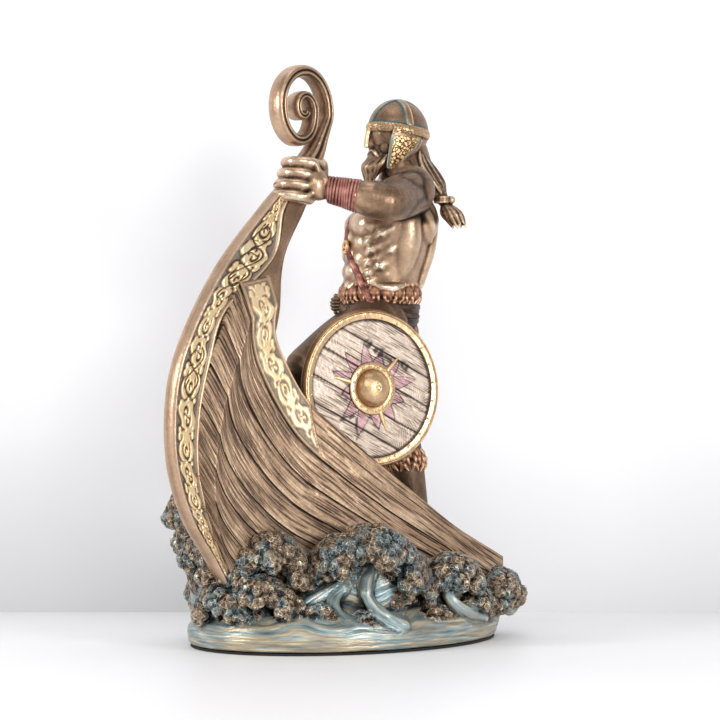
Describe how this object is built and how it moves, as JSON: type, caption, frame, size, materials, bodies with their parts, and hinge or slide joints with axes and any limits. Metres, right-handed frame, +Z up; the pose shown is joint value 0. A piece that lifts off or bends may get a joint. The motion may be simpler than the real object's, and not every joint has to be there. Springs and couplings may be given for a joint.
{
  "type": "figurine",
  "caption": "Bronze-finish figurine of a helmeted warrior with a round shield, gripping the scrolled stem of a longship bow that rises from breaking waves on an oval base.",
  "frame": {"origin": "under the middle of the whole outline, on the surface that it stands on", "axes": "+Z up, X along the ship with the bow towards -X, the port side with the shield towards -Y"},
  "size_m": [0.1876, 0.117, 0.2564],
  "materials": {
    "bronze_finish": "antique bronze patina over cold-cast resin, with pale gold relief and blue-green waves",
    "dark_pad": "thin matt black pad"
  },
  "bodies": {
    "root": {"statue": "bronze_finish", "base_pad": "dark_pad"}
  },
  "joints": []
}
